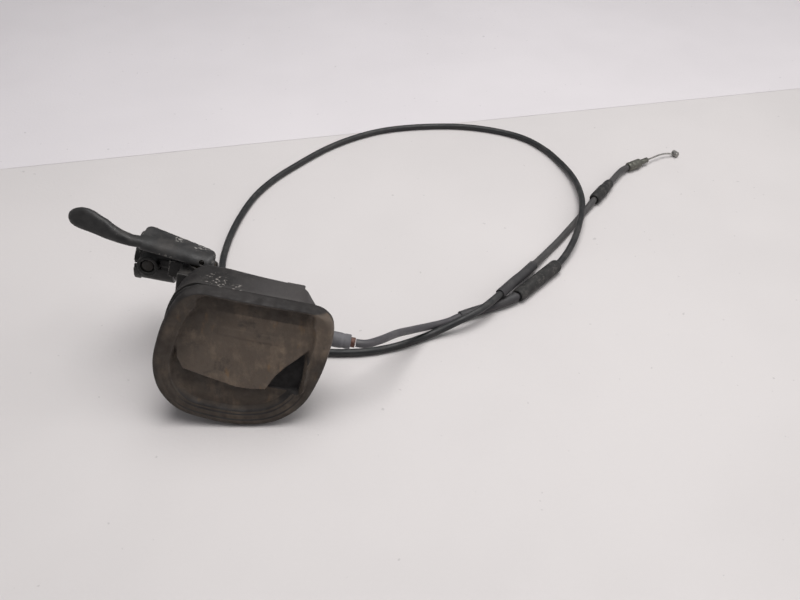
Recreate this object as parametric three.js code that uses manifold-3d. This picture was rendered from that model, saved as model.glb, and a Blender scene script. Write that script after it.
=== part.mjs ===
// Thumb throttle with its Bowden cable, for a 22.2 mm handlebar. Millimetres, +Z up, standing on z = 0.
// The housing is modelled in a local frame: x to the right along its flat top side, y from the cover
// to the back, z up the cover. That frame leans as the housing rests. The cable lies on the floor.
import * as THREE from "three";
import { mergeVertices } from "three/addons/utils/BufferGeometryUtils.js";
import Module from "manifold-3d";

const wasm = await Module();
wasm.setup();

// ---- driving dimensions ----
const CENTRE = [-108.135, 378.703]; // layout point that becomes the origin, under the middle of the throttle
const HOUSING_AT = [-90.5, 327, 3.34]; // layout place of the housing frame's origin, at the foot of the cover
const ROLL = 12; // degrees, right side down
const LEAN = 12; // degrees, top away from the cover side

const TOP = 84.5; // height of the flat top side
const COVER_TOP = 81; // height of the cover's edge, below the top side, which slopes down to it
const COVER_DEPTH = 6;
const GASKET = 1; // gasket thickness
const GAP = 0.3; // clearance between touching pieces
const BACK = 28; // outer face of the back wall
const WALL = 2.5;

const PIVOT = [-38, 42]; // x, y of the lever's pivot, parallel to z
const SHAFT_R = 3.5;
const LEVER_LOW = 76;
const LEVER_HIGH = 83;
const ARM_R = 26; // throttle arm, pivot to barrel
const ARM_REST = 22; // degrees from -y towards +x
const WIRE_Y = 17;
const WIRE_Z = 56.2;
const WIRE_R = 0.75;

const BAR_Y = 68; // handlebar axis, parallel to x
const BAR_Z = 60;
const BORE_R = 11.1;
const CLAMP_R = 13.6;
const CLAMP_X = [-78, -57];
const CLAMP_SCREW = [-66, 84.2]; // x, y of the screw that closes the clamp, behind the bar
const LOCK_SCREW = [-70.5, 63.7]; // x, z of the screw that locks the clamp on the bar, in front

const CABLE_R = 2.4;
const SLEEVE_R = 3.4;
const SLEEVE_BORE_R = 2.85;
const ADJUSTER_BOOT_R = 4.7;
const FERRULE_R = 3.7;

// ---- materials ----
function finish(color, roughness, metalness) {
  return new THREE.MeshStandardMaterial({ color, roughness, metalness });
}
const PLASTIC = finish("#262422", 0.6, 0);
const DUSTY_PLASTIC = finish("#3b332b", 0.75, 0);
const BLACK_ALLOY = finish("#1f1f20", 0.45, 0.5);
const STEEL = finish("#8d8a84", 0.4, 0.9);
const BRONZE = finish("#8a6a3f", 0.45, 0.8);
const RUBBER = finish("#1c1c1d", 0.8, 0);
const GREY_RUBBER = finish("#43474c", 0.7, 0);
const BLACK_CONDUIT = finish("#232629", 0.5, 0);
const GREY_CONDUIT = finish("#45464a", 0.65, 0);
const OLIVE_METAL = finish("#6d6f5c", 0.5, 0.7);
const RUSTY_METAL = finish("#5b3a32", 0.8, 0.4);

// ---- solids ----
function outward(geometry) {
  const bare = geometry.clone();
  bare.deleteAttribute("normal");
  bare.deleteAttribute("uv");
  const merged = mergeVertices(bare, 1e-4);
  const at = merged.attributes.position;
  const index = Array.from(merged.index.array);
  let volume = 0;
  for (let i = 0; i < index.length; i += 3) {
    const [a, b, c] = [0, 1, 2].map((k) => new THREE.Vector3().fromBufferAttribute(at, index[i + k]));
    volume += a.dot(b.cross(c));
  }
  if (volume < 0) index.reverse();
  merged.setIndex(index);
  return merged;
}

function solid(geometry) {
  const closed = outward(geometry);
  const vertProperties = closed.attributes.position.array;
  const triVerts = new Uint32Array(closed.index.array);
  return new wasm.Manifold(new wasm.Mesh({ numProp: 3, vertProperties, triVerts }));
}

function geometryOf(manifold) {
  const mesh = manifold.getMesh();
  const geometry = new THREE.BufferGeometry();
  geometry.setAttribute("position", new THREE.BufferAttribute(mesh.vertProperties, 3));
  geometry.setIndex(new THREE.BufferAttribute(mesh.triVerts, 1));
  geometry.computeVertexNormals();
  return geometry;
}

function box([x0, x1], [y0, y1], [z0, z1]) {
  const geometry = new THREE.BoxGeometry(x1 - x0, y1 - y0, z1 - z0);
  return solid(geometry.translate((x0 + x1) / 2, (y0 + y1) / 2, (z0 + z1) / 2));
}

// A turned piece. Profile points are [radius, distance along the axis], which is x, y or z through a point.
function turnedGeometry(profile, axis, at, sides = 24) {
  const points = profile.map(([r, s]) => new THREE.Vector2(r, s));
  const geometry = new THREE.LatheGeometry(points, sides);
  if (axis === "x") geometry.rotateZ(-Math.PI / 2);
  if (axis === "z") geometry.rotateX(Math.PI / 2);
  return outward(geometry.translate(...at));
}

function turned(profile, axis, at, sides) {
  return solid(turnedGeometry(profile, axis, at, sides));
}

function rod(r, [from, to], axis, at, sides) {
  return turned([[0, from], [r, from], [r, to], [0, to]], axis, at, sides);
}

function ring(inner, outer, [from, to], axis, at, sides) {
  const profile = [[inner, from], [outer, from], [outer, to], [inner, to], [inner, from]];
  return turned(profile, axis, at, sides);
}

function hexNut(inner, across, [from, to], axis, at) {
  return rod(across, [from, to], axis, at, 6).subtract(rod(inner, [from - 1, to + 1], axis, at, 20));
}

// A closed form through rings of points, with a fan at each end. Each ring has the same number of points.
function loft(rings) {
  const count = rings[0].length;
  const middle = (points) => points.reduce((sum, p) => sum.add(p), new THREE.Vector3()).divideScalar(count);
  const points = [...rings.flat(), middle(rings[0]), middle(rings.at(-1))];
  const faces = [];
  for (let k = 0; k < rings.length - 1; k++) {
    for (let i = 0; i < count; i++) {
      const [a, b] = [k * count + i, k * count + ((i + 1) % count)];
      faces.push(a, b, b + count, a, b + count, a + count);
    }
  }
  for (let i = 0; i < count; i++) {
    const next = (i + 1) % count;
    const last = (rings.length - 1) * count;
    faces.push(points.length - 2, next, i);
    faces.push(points.length - 1, last + i, last + next);
  }
  const geometry = new THREE.BufferGeometry().setFromPoints(points);
  geometry.setIndex(faces);
  return solid(geometry);
}

// A flat outline in x and y, lifted from one height to another.
function slab(points, [z0, z1]) {
  const shape = new THREE.Shape(points.map(([x, y]) => new THREE.Vector2(x, y)));
  const geometry = new THREE.ExtrudeGeometry(shape, { depth: z1 - z0, bevelEnabled: false });
  return solid(geometry.translate(0, 0, z0));
}

function polygon(radius, sides) {
  const shape = new THREE.Shape();
  for (let i = 0; i < sides; i++) {
    const angle = (2 * Math.PI * i) / sides;
    shape[i ? "lineTo" : "moveTo"](radius * Math.cos(angle), radius * Math.sin(angle));
  }
  shape.closePath();
  return shape;
}

// A tube along a curve, hollow where it has an inner radius.
function tube(curve, radius, steps, sides = 8, inner = 0) {
  const shape = polygon(radius, sides);
  if (inner) shape.holes.push(polygon(inner, sides));
  const settings = { steps, extrudePath: curve, curveSegments: 1 };
  return outward(new THREE.ExtrudeGeometry(shape, settings));
}

class Stretch extends THREE.Curve {
  constructor(whole, from, to) {
    super();
    Object.assign(this, { whole, from, to });
  }
  getPoint(t, target = new THREE.Vector3()) {
    return this.whole.getPointAt(this.from + (this.to - this.from) * t, target);
  }
}

// ---- groups ----
const throttle = new THREE.Group();
const layout = new THREE.Group();
layout.position.set(-CENTRE[0], -CENTRE[1], 0);
throttle.add(layout);
const housing = new THREE.Group();
housing.position.set(...HOUSING_AT);
housing.rotation.set(THREE.MathUtils.degToRad(-LEAN), THREE.MathUtils.degToRad(ROLL), 0);
layout.add(housing);
housing.updateMatrix();

function piece(name, shape, material, group = housing) {
  const geometry = shape.isBufferGeometry ? shape : geometryOf(shape);
  const mesh = new THREE.Mesh(geometry, material);
  mesh.name = name;
  group.add(mesh);
  return mesh;
}

function outOfHousing(x, y, z) {
  return new THREE.Vector3(x, y, z).applyMatrix4(housing.matrix);
}

// ---- housing ----
// The cover's edge, seen from the front: flat on top, round below, with a tight top right corner.
const COVER_POINTS = [
  [-30, 81], [0, 81], [26.5, 81], [33.5, 79.8], [38.8, 75.6], [41.2, 68.5], [41.2, 58], [38.3, 37], [31.8, 18],
  [18.5, 4.2], [-1, -2.3], [-21, -2.3], [-38.2, 1.8], [-49, 12.7], [-53.6, 28], [-52.7, 44], [-49.2, 60],
  [-43.5, 73], [-37.5, 79],
];
// The shell's edge: fuller than the cover's at the top left, and drawn in at the top right.
const SHELL_POINTS = [
  [-36, 84.5], [-8, 84.5], [20, 84.5], [25, 82.4], [30, 76], [37, 66], [40.8, 57], [37.5, 37], [31.5, 18],
  [18.5, 4.2], [-1, -2.3], [-21, -2.3], [-38.2, 1.8], [-49, 12.7], [-53.4, 28], [-52.9, 44], [-51, 62],
  [-47.8, 73], [-42.3, 80.8],
];
const MIDDLE = [-6, 43];

function edge(points, top) {
  const corners = points.map(([x, z]) => new THREE.Vector3(x, 0, z));
  const spaced = new THREE.CatmullRomCurve3(corners, true, "centripetal").getSpacedPoints(40).slice(1);
  return spaced.map((p) => p.setZ(Math.min(p.z, top)));
}
const COVER_EDGE = edge(COVER_POINTS, COVER_TOP);
const SHELL_EDGE = edge(SHELL_POINTS, TOP);

// The cover's edge at a depth y, drawn in all round.
function coverRing(y, inset) {
  const [scaleX, scaleZ] = [1 - inset / 47, 1 - inset / 42];
  const [x, z] = MIDDLE;
  return COVER_EDGE.map((p) => new THREE.Vector3(x + (p.x - x) * scaleX, y, z + (p.z - z) * scaleZ));
}

// The shell's edge at a depth y, scaled towards the middle of the flat top side. The top side alone falls
// by so much towards the cover or, to the right, by so much for each mm.
function shellRing(y, scale, drop = 0, fall = 0, fallRight = 0) {
  return SHELL_EDGE.map((p) => {
    const lowered = (fall + fallRight * Math.max(0, p.x + 24)) * Math.max(0, (p.z - 60) / (TOP - 60));
    return new THREE.Vector3(-8 + (p.x + 8) * scale, y, TOP - drop - (TOP - p.z) * scale - lowered);
  });
}

const COVER_SCREWS = [["left", -28, 32], ["right", 12, 32]];
const BRACKET_SCREWS = [["upper", -12, 68], ["lower", 2, 50]];

function frontCover() {
  const rim = loft([
    coverRing(3.4, 13), coverRing(2.6, 11), coverRing(0.6, 9), coverRing(0, 6.5), coverRing(0.2, 2.5),
    coverRing(1.4, 0.5), coverRing(2.8, 0), coverRing(COVER_DEPTH, 0),
  ]);
  // The raised pad stands highest along its lower edge and runs out to the floor of the recess at the top.
  const pad = [[-42, 66], [-41, 36], [-37, 29.5], [-23, 26.7], [-6, 23.7], [10, 25.2], [35, 61], [36, 66]];
  const face = (z) => 0.5 + (2.8 * (z - 23.7)) / (66 - 23.7);
  const wedge = loft([
    pad.map(([x, z]) => new THREE.Vector3(x, face(z), z)),
    pad.map(([x, z]) => new THREE.Vector3(x, 4.5, z)),
  ]);
  const pocket = [[12, 26.5], [20, 26], [28.5, 27], [29, 51.5]];
  const recess = loft([
    pocket.map(([x, z]) => new THREE.Vector3(x, -1, z)),
    pocket.map(([x, z]) => new THREE.Vector3(x, 4.6, z)),
  ]);
  let cover = rim.add(wedge).subtract(recess);
  for (const [, x, z] of COVER_SCREWS) {
    cover = cover.add(rod(3.4, [COVER_DEPTH - 0.5, 22], "y", [x, 0, z]));
    cover = cover.subtract(rod(1.8, [12, 23], "y", [x, 0, z], 12));
  }
  return cover;
}

const SHELL_FRONT = COVER_DEPTH + GASKET + 2 * GAP;
const FITTING_AT = [0, WIRE_Y, WIRE_Z];

function housingShell() {
  const outer = loft([
    shellRing(SHELL_FRONT, 0.965, 0, 3.3), shellRing(12.5, 0.955, 0, 2), shellRing(18, 0.94, 0, 0.7),
    shellRing(24, 0.87, 0.3, 0, 0.06), shellRing(BACK, 0.72, 5, 0, 0.05),
  ]);
  const inner = loft([
    shellRing(SHELL_FRONT - 1, 0.915, WALL, 3.4), shellRing(17, 0.902, WALL, 0.8),
    shellRing(22.5, 0.81, WALL + 0.5, 0, 0.05), shellRing(BACK - WALL, 0.68, WALL + 4.5, 0, 0.05),
  ]);
  let shell = outer.subtract(inner);
  shell = shell.add(box([11, 21.6], [19, 24.6], [77, 82.7]).subtract(inner)); // latch block on the top edge
  shell = shell.subtract(box([-47, -25.5], [22, 30], [53, 62])); // the throttle arm's window
  shell = shell.subtract(rod(3.6, [30, 46], "x", FITTING_AT, 16)); // hole for the cable fitting
  shell = shell.subtract(rod(6.3, [20, 33.9], "x", FITTING_AT, 16)); // flat seat for its nut
  for (const [, x, z] of [...COVER_SCREWS, ...BRACKET_SCREWS]) {
    shell = shell.subtract(rod(2, [20, 32], "y", [x, 0, z], 12));
  }
  return shell;
}

function gasket() {
  const [front, back] = [COVER_DEPTH + GAP, COVER_DEPTH + GAP + GASKET];
  const outer = loft([shellRing(front, 0.955, 0.8, 3.3), shellRing(back, 0.955, 0.8, 3.3)]);
  const inner = loft([shellRing(front - 1, 0.91, 2.3, 3.3), shellRing(back + 1, 0.91, 2.3, 3.3)]);
  return outer.subtract(inner);
}

piece("housing_shell", housingShell(), PLASTIC);
piece("front_cover", frontCover(), DUSTY_PLASTIC);
piece("cover_gasket", gasket(), RUBBER);

function headedScrew(x, z, [tip, under], direction) {
  const head = under + direction * 2.4;
  const socket = head - direction;
  const profile = [
    [0, tip], [1.5, tip], [1.5, under], [3.3, under], [2.9, head], [1.2, head], [1.2, socket], [0, socket],
  ];
  return turned(profile, "y", [x, 0, z], 12);
}
for (const [side, x, z] of COVER_SCREWS) {
  piece("cover_screw_" + side, headedScrew(x, z, [13, BACK + GAP], 1), STEEL);
}
for (const [side, x, z] of BRACKET_SCREWS) {
  piece("bracket_screw_" + side, headedScrew(x, z, [31, BACK - WALL - GAP], -1), STEEL);
}

// ---- pivot bracket and handlebar clamp ----
const ARM_SLOT = [49, 61]; // heights between which the tower is open for the arm and the spring

// One half of the clamp: a half ring with an end flange and a screw ear behind, above or below the split.
function clampHalf(side, earThickness) {
  const split = BAR_Z + side * 0.35;
  const away = (distance) => [split, split + side * distance].sort((a, b) => a - b);
  const [x, y] = CLAMP_SCREW;
  const onBar = [0, BAR_Y, BAR_Z];
  let half = ring(BORE_R, CLAMP_R, CLAMP_X, "x", onBar, 40);
  half = half.add(ring(BORE_R, 14.3, [CLAMP_X[0] - 2, CLAMP_X[0] + 1], "x", onBar, 40));
  half = half.add(rod(4.8, away(earThickness), "z", [x, y, 0], 20));
  half = half.add(box([x - 4, x + 4], [BAR_Y, y], away(earThickness)));
  half = half.subtract(rod(BORE_R, [-90, -40], "x", onBar, 40));
  half = half.subtract(box([-100, -40], [30, 100], side > 0 ? [0, split] : [split, 100]));
  half = half.subtract(box([-81, -76.8], [50, 55.2], away(2))); // notch at the split line
  half = half.subtract(box([-90, -40], [40, 100], [LEVER_LOW - 1, 90])); // flat under the lever's path
  return half;
}

const lockRod = (r, y, sides) => rod(r, y, "y", [LOCK_SCREW[0], 0, LOCK_SCREW[1]], sides);

function pivotBracket() {
  const [px, py] = PIVOT;
  const barSpace = rod(BORE_R, [-90, -40], "x", [0, BAR_Y, BAR_Z], 40);
  let bracket = box([-50, 8], [BACK + 0.4, 31.4], [44, 73]);
  bracket = bracket.add(box([-50, -29], [30, 53], [43, 68])).add(box([-50, -31], [30, 50], [67, 72]));
  bracket = bracket.add(rod(8.5, [60, 75.3], "z", [px, py, 0], 28));
  bracket = bracket.add(box([-58, -46], [44, 62], [61.5, 72]));
  bracket = bracket.add(box([-66, -46], [51, 62], [63, 68])).subtract(barSpace);
  bracket = bracket.add(clampHalf(1, 4.5)).add(lockRod(6.2, [46.8, 60], 28).subtract(barSpace));
  bracket = bracket.subtract(lockRod(4, [46, 50.7], 20)).subtract(lockRod(2.7, [46, 60], 12));
  bracket = bracket.subtract(box([-64.3, -59.7], [54.3, 56.7], [59, 62.5])); // groove for the cap's tongue
  bracket = bracket.subtract(box([-46.5, -20], [20, 49.5], ARM_SLOT));
  bracket = bracket.subtract(rod(5.8, [40, 80], "z", [px, py, 0], 24));
  bracket = bracket.subtract(rod(7.4, [74, 80], "z", [px, py, 0], 24));
  for (const [, x, z] of BRACKET_SCREWS) {
    bracket = bracket.subtract(rod(1.8, [27, 32], "y", [x, 0, z], 12));
  }
  return bracket.subtract(rod(2.7, [60, 70], "z", [...CLAMP_SCREW, 0], 12));
}

function clampCap() {
  const tongue = box([-64, -60], [54.6, 56.4], [58.5, 62.2]);
  const cap = clampHalf(-1, 8).subtract(lockRod(6.6, [46, 60], 28)).add(tongue);
  return cap.subtract(rod(2.7, [40, 62], "z", [...CLAMP_SCREW, 0], 12));
}

piece("pivot_bracket", pivotBracket(), BLACK_ALLOY);
piece("clamp_cap", clampCap(), BLACK_ALLOY);
piece("clamp_lock_screw", lockRod(3.6, [47.8, 50.4], 20).add(lockRod(2.3, [50, 56], 12)), STEEL);
const seat = BAR_Z - 8.35; // lower face of the cap's ear
piece("clamp_washer", ring(2.6, 4, [seat - 1.5, seat - GAP], "z", [...CLAMP_SCREW, 0], 20), STEEL);
const capScrew = rod(4, [seat - 5.3, seat - 1.8], "z", [...CLAMP_SCREW, 0], 6);
piece("clamp_screw", capScrew.add(rod(2.3, [seat - 2, 65.4], "z", [...CLAMP_SCREW, 0], 12)), STEEL);

function bushing([low, high], flangeUp) {
  const bore = SHAFT_R + 0.3;
  const flange = flangeUp ? [high + GAP, high + 1.5] : [low - 1.5, low - GAP];
  const at = [...PIVOT, 0];
  const sleeve = ring(bore, 5.5, flangeUp ? [low, flange[1]] : [flange[0], high], "z", at);
  return sleeve.add(ring(bore, 7, flange, "z", at));
}
piece("upper_bushing", bushing([ARM_SLOT[1] + GAP, 74], true), BRONZE);
piece("lower_bushing", bushing([43, ARM_SLOT[0] - GAP], false), BRONZE);

// ---- lever, shaft and throttle arm, which turn together ----
const armAngle = THREE.MathUtils.degToRad(ARM_REST);
const armTip = [PIVOT[0] + ARM_R * Math.sin(armAngle), PIVOT[1] - ARM_R * Math.cos(armAngle)];
const pinHole = (r, from, to) => rod(r, [from, to], "y", [PIVOT[0], 0, 79.2], 12);

// The paddle: a rounded upright blade for the thumb, thickest in the middle.
function paddle() {
  // Each station is x, y and z of the blade's middle, then half its height and half its thickness.
  const stations = [
    [-82, 46.3, 79.9, 4.2, 4], [-90, 47.6, 80.4, 4.4, 3.7], [-96, 49, 82, 5.6, 3.5],
    [-103, 50.7, 83.7, 6.9, 3.4], [-109, 52.2, 83.9, 6.8, 3.2], [-114, 53.4, 83.3, 5.4, 2.7],
    [-118, 54.2, 83, 2.6, 1.4],
  ];
  return loft(stations.map(([x, y, z, tall, thick]) => Array.from({ length: 14 }, (_, i) => {
    const angle = (2 * Math.PI * i) / 14;
    return new THREE.Vector3(x, y + thick * Math.cos(angle), z + tall * Math.sin(angle));
  })));
}

function thumbLever() {
  // The hub's outline: x, y and the share that each point takes of the rounding along the front edge.
  const hub = [
    [-34.5, 33, 1], [-32, 35.5, 0.7], [-31.2, 39, 0.2], [-32.5, 43.5, 0], [-36, 46.6, 0], [-72, 62, 0],
    [-75.8, 61.6, 0], [-77.8, 59, 0], [-79, 53.5, 0.1], [-86, 51, 0.1], [-86, 43.4, 1], [-79, 41.5, 1],
    [-60, 38.5, 1], [-44, 34.5, 1],
  ];
  // Each height, and how far back the front edge stands there.
  const rounding = [[LEVER_LOW, 0.8], [77, 0], [79.5, 0.5], [81.5, 2.2], [LEVER_HIGH, 4.6]];
  const rings = rounding.map(([z, back]) => hub.map(([x, y, share]) => (
    new THREE.Vector3(x, y + back * share, z)
  )));
  let lever = loft(rings).add(paddle());
  lever = lever.subtract(rod(SHAFT_R + 0.3, [70, 81.6], "z", [...PIVOT, 0]));
  return lever.subtract(pinHole(1.6, 30, 50));
}
piece("thumb_lever", thumbLever(), BLACK_ALLOY);

const shaftProfile = [[0, 38.4], [3.1, 38.4], [SHAFT_R, 38.9], [SHAFT_R, 40.1], [2.6, 40.1], [2.6, 41.4],
  [SHAFT_R, 41.4], [SHAFT_R, 81.3], [0, 81.3]];
piece("pivot_shaft", turned(shaftProfile, "z", [...PIVOT, 0]).subtract(pinHole(1.6, 30, 50)), STEEL);
piece("lever_pin", pinHole(1.25, 34.5, 46), STEEL);
const clip = ring(2.9, 5.6, [40.3, 41.2], "z", [...PIVOT, 0]);
const clipGap = box([PIVOT[0] - 2, PIVOT[0] + 2], [PIVOT[1] - 9, PIVOT[1]], [39, 42]);
piece("retaining_ring", clip.subtract(clipGap), STEEL);

function throttleArm() {
  const height = [55, 60];
  const [dx, dy] = [(armTip[0] - PIVOT[0]) / ARM_R, (armTip[1] - PIVOT[1]) / ARM_R];
  const web = [[1, 3.4], [1, -3.4], [ARM_R, -2.8], [ARM_R, 2.8]]; // along and across the arm
  const outline = web.map(([s, t]) => [PIVOT[0] + s * dx - t * dy, PIVOT[1] + s * dy + t * dx]);
  let arm = slab(outline, height);
  arm = arm.add(rod(7, height, "z", [...PIVOT, 0])).add(rod(3.9, height, "z", [...armTip, 0], 20));
  arm = arm.subtract(rod(SHAFT_R + 0.3, [50, 65], "z", [...PIVOT, 0]));
  arm = arm.subtract(rod(2.6, [50, 65], "z", [...armTip, 0], 16));
  const slot = [WIRE_Z - WIRE_R - 0.3, WIRE_Z + WIRE_R + 0.3];
  return arm.subtract(box([armTip[0], armTip[0] + 7], [armTip[1] - 6, armTip[1] + 6], slot));
}
piece("throttle_arm", throttleArm(), STEEL);
piece("near_barrel", rod(2.3, [54.5, 60.5], "z", [...armTip, 0], 16), STEEL);

// The torsion spring: a coil round the shaft with a leg at each end.
function returnSpring() {
  const points = [];
  const [turns, steps, coil] = [3, 12, 5.8];
  const [px, py] = PIVOT;
  const at = (a, radius, z) => new THREE.Vector3(px + radius * Math.cos(a), py + radius * Math.sin(a), z);
  points.push(at(-0.75, 8, 50.2), at(-0.35, 6.8, 50.2));
  for (let i = 0; i <= turns * steps; i++) {
    points.push(at((2 * Math.PI * i) / steps, coil, 50.2 + (3.9 * i) / (turns * steps)));
  }
  points.push(at(0.35, 6.8, 54.1), at(0.75, 8, 54.1));
  return tube(new THREE.CatmullRomCurve3(points), 0.55, 48, 6);
}
piece("return_spring", returnSpring(), STEEL);

// ---- cable exit ----
const fitting = [
  [1.3, 29], [3.2, 29], [3.2, 39.4], [5, 39.4], [5, 40.6], [3, 40.6], [3, 46], [1.3, 46], [1.3, 29],
];
piece("cable_fitting", turned(fitting, "x", FITTING_AT), STEEL);
piece("fitting_nut", hexNut(3.5, 5.2, [30.8, 33.6], "x", FITTING_AT), STEEL);
const exitBoot = [[3.4, 41], [4.5, 41], [4.4, 47], [4.1, 48], [4.2, 52], [3.4, 52], [3.4, 41]];
piece("exit_boot", turned(exitBoot, "x", FITTING_AT), GREY_RUBBER);
piece("near_ferrule", ring(1.3, 2.9, [46.4, 54.6], "x", FITTING_AT, 20), RUSTY_METAL);
piece("inner_wire_near", rod(WIRE_R, [armTip[0] + 2.6, 45], "x", FITTING_AT, 8), STEEL);

// ---- cable: the conduit's route over the floor, laid by hand ----
const NEAR_ROUTE = [
  [-19.5, 352.8, 41.5], [-11.8, 359.6, 38], [-1.8, 377.8, 26.8], [9.3, 394.6, 15], [20.5, 407.6, 6.5],
  [30.8, 414.1, 4.1], [39.3, 419.5, 3.9], [49.5, 424.6, 3.9], [59.7, 429.2, 3.9], [70, 433.8, 4.5],
];
const ADJUSTER_AT = new THREE.Vector3(78.9, 439.1, 5);
const ADJUSTER_ALONG = new THREE.Vector3(31.3, 34.1, 0).normalize();
const ADJUSTER_LENGTH = 46.3;
const MAIN_ROUTE = [
  [118.2, 484.6, 5.8], [126.4, 500.4, 7.6], [133.4, 520.7, 8.4], [138, 537.5, 8.3], [141, 560, 7],
  [139.8, 589, 4.6], [132.7, 616, 3.2], [122, 639, 2.7], [106.9, 656.9, 2.7], [83.4, 670, 2.7],
  [53.3, 677.5, 2.7], [16.8, 677, 2.7], [-15.5, 670, 2.7], [-41, 656.5, 2.7], [-62.9, 638.3, 2.7],
  [-84.5, 613.1, 2.7], [-101.5, 590, 2.7], [-113.5, 566.3, 2.7], [-121.4, 537, 2.7], [-125.8, 504, 2.7],
  [-125.5, 475, 2.7], [-119, 444, 2.7], [-107, 420, 2.7], [-90, 402, 2.7], [-68, 391, 2.7],
  [-43.7, 386.7, 2.7], [-22.2, 387.3, 2.7], [-6.2, 391, 2.7], [8, 396.8, 2.9], [19.6, 402.4, 3.7],
  [32.1, 407.4, 6.9], [41, 410.8, 9.6], [48.5, 415.2, 10.8], [57.2, 423, 11.2], [68.7, 437.2, 10.7],
  [76.5, 448, 9.5], [84.5, 459, 7.6], [94, 473.5, 5], [107.6, 493.3, 3], [117.1, 506.5, 2.7],
  [137, 536.3, 2.7], [145.5, 548.7, 3.9],
];
const STRAIGHT_FROM = new THREE.Vector3(151, 556.7, 4.8); // the straight stretch that the boot slides on
const STRAIGHT_ALONG = new THREE.Vector3(0.569, 0.822, 0).normalize();
const STRAIGHT_LENGTH = 52;
const FERRULE_AT = new THREE.Vector3(187.2, 605.5, 4.3);
const FERRULE_ALONG = new THREE.Vector3(0.84, 0.5426, 0).normalize();
const FERRULE_LENGTH = 22;

const along = (start, direction, distance) => start.clone().addScaledVector(direction, distance);
const points = (list) => list.map((p) => new THREE.Vector3(...p));

const nearRoute = new THREE.CatmullRomCurve3([
  outOfHousing(55, WIRE_Y, WIRE_Z), ...points(NEAR_ROUTE),
  ADJUSTER_AT, along(ADJUSTER_AT, ADJUSTER_ALONG, 1.3),
], false, "centripetal");
const mainRoute = new THREE.CatmullRomCurve3([
  along(ADJUSTER_AT, ADJUSTER_ALONG, 40.3), along(ADJUSTER_AT, ADJUSTER_ALONG, 47), ...points(MAIN_ROUTE),
  ...[0, 0.5, 1].map((share) => along(STRAIGHT_FROM, STRAIGHT_ALONG, share * STRAIGHT_LENGTH)),
  along(FERRULE_AT, FERRULE_ALONG, -2.5), along(FERRULE_AT, FERRULE_ALONG, -0.5),
], false, "centripetal");

// The share of a curve's length at which it passes closest to a point.
function shareAt(curve, target) {
  let best = 0;
  for (let t = 0; t <= 1; t += 0.002) {
    if (curve.getPointAt(t).distanceTo(target) < curve.getPointAt(best).distanceTo(target)) best = t;
  }
  return best;
}

piece("cable_near", tube(nearRoute, CABLE_R, 14), GREY_CONDUIT, layout);
piece("cable_main", tube(mainRoute, CABLE_R, 66), BLACK_CONDUIT, layout);

function sleeve(name, curve, from, to) {
  const stretch = new Stretch(curve, shareAt(curve, from), shareAt(curve, to));
  piece(name, tube(stretch, SLEEVE_R, 8, 12, SLEEVE_BORE_R), BLACK_CONDUIT, layout);
}
const sleeveEnd = along(ADJUSTER_AT, ADJUSTER_ALONG, -1.8);
sleeve("sleeve_near", nearRoute, new THREE.Vector3(39.3, 419.5, 3.9), sleeveEnd);
sleeve("sleeve_far", mainRoute, new THREE.Vector3(66, 434, 10.8), new THREE.Vector3(94, 473.5, 5));

// Turned pieces on the cable: a local group whose x axis runs along the cable.
function lineGroup(start, direction) {
  const group = new THREE.Group();
  group.position.copy(start);
  group.quaternion.setFromUnitVectors(new THREE.Vector3(1, 0, 0), direction);
  layout.add(group);
  return group;
}
const HERE = [0, 0, 0];

const adjuster = lineGroup(ADJUSTER_AT, ADJUSTER_ALONG);
const barrelProfile = [[1, 1.6], [3.4, 1.6], [3.4, 18], [2.5, 18], [2.5, 7], [1, 7], [1, 1.6]];
piece("adjuster_barrel", turned(barrelProfile, "x", HERE, 12), STEEL, adjuster);
piece("adjuster_screw", ring(1, 2.2, [7.4, 40], "x", HERE, 12), STEEL, adjuster);
piece("adjuster_nut", hexNut(2.5, 3.6, [18.4, 22.4], "x", HERE), STEEL, adjuster);
const bootProfile = [[2.75, 0], [4.3, 0], [ADJUSTER_BOOT_R, 0.8], [ADJUSTER_BOOT_R, 45], [4, ADJUSTER_LENGTH],
  [3.1, ADJUSTER_LENGTH], [3.1, 45], [3.9, 44.2], [3.9, 1.2], [2.75, 1.2], [2.75, 0]];
piece("adjuster_boot", turned(bootProfile, "x", HERE, 20), RUBBER, adjuster);

const slidingBoot = lineGroup(STRAIGHT_FROM, STRAIGHT_ALONG);
const farBoot = [
  [2.75, 0], [4, 0], [4.5, 1.5], [4.5, 18], [3.9, 20], [3.9, 27], [3.4, 29], [2.75, 29], [2.75, 0],
];
piece("far_boot", turned(farBoot, "x", HERE, 16), RUBBER, slidingBoot);

const farEnd = lineGroup(FERRULE_AT, FERRULE_ALONG);
const ferruleProfile = [
  [1.3, 0], [3.1, 0], [FERRULE_R, 0.8], [FERRULE_R, 13], [2.2, 13], [2.2, FERRULE_LENGTH], [1.3, FERRULE_LENGTH],
  [1.3, 0],
];
piece("far_ferrule", turned(ferruleProfile, "x", HERE, 16), OLIVE_METAL, farEnd);
const farWirePoints = [[15, 0, 0], [26, 0, 0], [37, 0, 0], [43, -0.8, -0.4], [48.5, -3, -1.1]];
const farWire = new THREE.CatmullRomCurve3(points(farWirePoints));
piece("inner_wire_far", tube(farWire, WIRE_R, 10, 8), STEEL, farEnd);
piece("far_barrel", rod(2.3, [-2.5, 2.5], "y", [51.3, -4.1, -1.3], 16), STEEL, farEnd);

export default throttle;
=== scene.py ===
"""A thumb throttle with its Bowden cable, lying on a pale floor. Metres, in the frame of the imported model."""
import math

import bmesh
import bpy
import numpy as np
from mathutils import Matrix, Vector


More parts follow.
